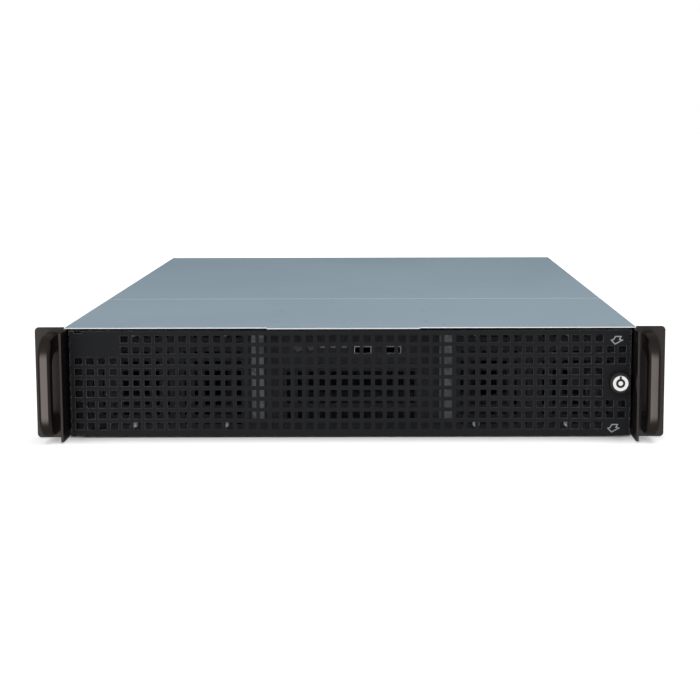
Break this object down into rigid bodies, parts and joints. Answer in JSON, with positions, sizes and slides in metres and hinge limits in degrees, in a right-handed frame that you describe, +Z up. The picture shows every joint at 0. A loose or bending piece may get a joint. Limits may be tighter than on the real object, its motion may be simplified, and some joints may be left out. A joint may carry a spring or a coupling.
{
  "type": "empty rackmount server case",
  "caption": "Flat steel rack case with arched handles, a perforated hinged front door with a round key lock, and a sliding top cover.",
  "frame": {"origin": "centre of the underside's bounding box", "axes": "+Z up, the door faces -Y, +X to the right as seen from the front"},
  "size_m": [0.4826, 0.6992, 0.086],
  "materials": {
    "case_steel": "satin blue-grey painted steel",
    "bright_steel": "galvanised sheet",
    "black_steel": "fine textured black paint",
    "door_black": "satin black paint",
    "handle_satin": "satin black",
    "black_plastic": "matte",
    "fan_plastic": "matte",
    "button": "gloss",
    "lamp": "clear light pipe",
    "port_steel": "plated shell",
    "board": "green circuit board",
    "brass": "brass posts",
    "screw_steel": "zinc plated",
    "lock_black": "satin black",
    "lock_chrome": "polished"
  },
  "bodies": {
    "case": {"chassis_tray": "case_steel", "rear_panel": "case_steel", "slot_blanks": "bright_steel", "board_posts": "brass", "front_wall": "black_steel", "cross_brace": "case_steel", "front_top_panel": "case_steel", "centre_drive_cage": "bright_steel", "left_drive_cage": "bright_steel", "right_drive_cage": "bright_steel", "centre_grille": "black_steel", "control_panel": "black_plastic", "status_lamps": "lamp", "front_ports": "port_steel", "control_board": "board", "left_fan_frame": "fan_plastic", "right_fan_frame": "fan_plastic", "left_ear": "black_steel", "right_ear": "black_steel", "left_handle": "handle_satin", "right_handle": "handle_satin", "left_side_plate": "black_steel", "right_side_plate": "black_steel", "lower_hinge_bracket": "black_steel", "upper_hinge_bracket": "black_steel", "lower_hinge_pin": "screw_steel", "upper_hinge_pin": "screw_steel", "lock_catch": "black_steel"},
    "top_cover": {"top_cover": "case_steel", "cover_screw": "screw_steel"},
    "door": {"door_panel": "door_black", "lock_barrel": "lock_black", "lock_nut": "screw_steel"},
    "lock": {"lock_plug": "lock_chrome", "lock_cam": "black_steel"},
    "left_rotor": {"left_fan_rotor": "fan_plastic"},
    "right_rotor": {"right_fan_rotor": "fan_plastic"},
    "power_key": {"power_button": "button"},
    "reset_key": {"reset_button": "button"}
  },
  "joints": [
    {"name": "door_swing", "type": "hinge", "parent": "case", "child": "door", "pos_m": [-0.1998, -0.3096, 0.042], "axis": [0, 0, -1], "range_deg": [0, 90]},
    {"name": "lock_turn", "type": "hinge", "parent": "door", "child": "lock", "pos_m": [0.2065, -0.3146, 0.043], "axis": [0, 1, 0], "range_deg": [0, 90]},
    {"name": "cover_slide", "type": "slide", "parent": "case", "child": "top_cover", "axis": [0, 1, 0], "range_m": [0, 0.44]},
    {"name": "left_fan_spin", "type": "hinge", "parent": "case", "child": "left_rotor", "pos_m": [-0.134, -0.2769, 0.0426], "axis": [0, 1, 0], "continuous": true},
    {"name": "right_fan_spin", "type": "hinge", "parent": "case", "child": "right_rotor", "pos_m": [0.134, -0.2769, 0.0426], "axis": [0, 1, 0], "continuous": true},
    {"name": "power_press", "type": "slide", "parent": "case", "child": "power_key", "axis": [0, 1, 0], "range_m": [0, 0.0015], "stiffness_N_per_m": 600, "springref_m": -0.001},
    {"name": "reset_press", "type": "slide", "parent": "case", "child": "reset_key", "axis": [0, 1, 0], "range_m": [0, 0.0015], "stiffness_N_per_m": 600, "springref_m": -0.001}
  ]
}
